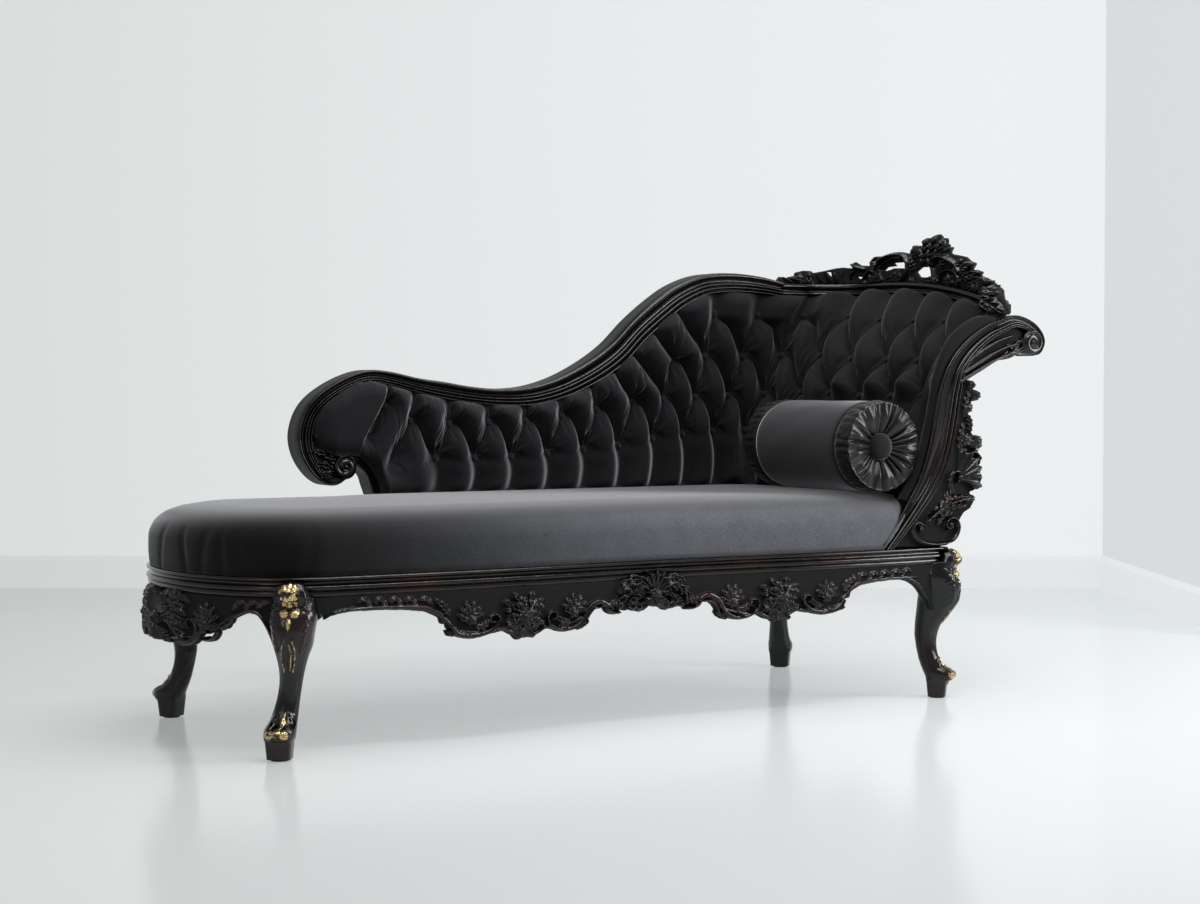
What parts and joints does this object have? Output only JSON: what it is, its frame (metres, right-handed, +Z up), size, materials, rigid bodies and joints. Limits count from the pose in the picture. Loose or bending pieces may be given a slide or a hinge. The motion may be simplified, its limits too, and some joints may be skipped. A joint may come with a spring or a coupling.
{
  "type": "fainting couch",
  "caption": "Carved and ebonised fainting couch with a rolled head, a scrolled half back, deep buttoning, an upholstered seat and a loose bolster.",
  "frame": {"origin": "on the floor under the middle of the bounding box", "axes": "+X along the couch from the foot to the rolled head, -Y the open front, +Z up"},
  "size_m": [2.0378, 0.7642, 1.0819],
  "materials": {
    "ebonised_wood": "semi-gloss black lacquer",
    "velvet": "charcoal velvet",
    "beech": "raw",
    "lining": "black lining cloth",
    "jute": "woven jute",
    "felt": "felt"
  },
  "bodies": {
    "frame": {"leg_front_foot": "ebonised_wood", "glide_front_foot": "felt", "leg_back_foot": "ebonised_wood", "glide_back_foot": "felt", "leg_front_head": "ebonised_wood", "glide_front_head": "felt", "leg_back_head": "ebonised_wood", "glide_back_head": "felt", "seat_rail_front": "ebonised_wood", "seat_rail_foot": "ebonised_wood", "seat_rail_back": "ebonised_wood", "seat_rail_head": "ebonised_wood", "apron_front": "ebonised_wood", "apron_foot": "ebonised_wood", "apron_back": "ebonised_wood", "apron_head": "ebonised_wood", "back_top_rail": "ebonised_wood", "back_foot_post": "ebonised_wood", "back_base_rail": "beech", "back_stile_1": "beech", "back_stile_2": "beech", "back_upholstery": "velvet", "outside_back_panel": "lining", "head_upholstery": "velvet", "head_base_rail": "beech", "outside_head_panel": "lining", "head_top_rail": "ebonised_wood", "head_post_front": "ebonised_wood", "head_bracket": "ebonised_wood", "crest_carving": "ebonised_wood", "seat_cushion": "velvet", "seat_hessian": "jute", "seat_webbing": "jute", "dust_cover": "lining", "corner_block_front_foot": "beech", "corner_block_back_foot": "beech", "corner_block_front_head": "beech", "corner_block_back_head": "beech", "seat_slat_1": "beech", "seat_slat_2": "beech", "seat_slat_3": "beech"},
    "bolster": {"bolster_cover": "velvet", "bolster_button_back": "velvet", "bolster_button_front": "velvet"}
  },
  "joints": [
    {"name": "bolster_lift", "type": "slide", "parent": "frame", "child": "bolster", "axis": [0, 0, 1], "range_m": [0, 0.65]}
  ]
}
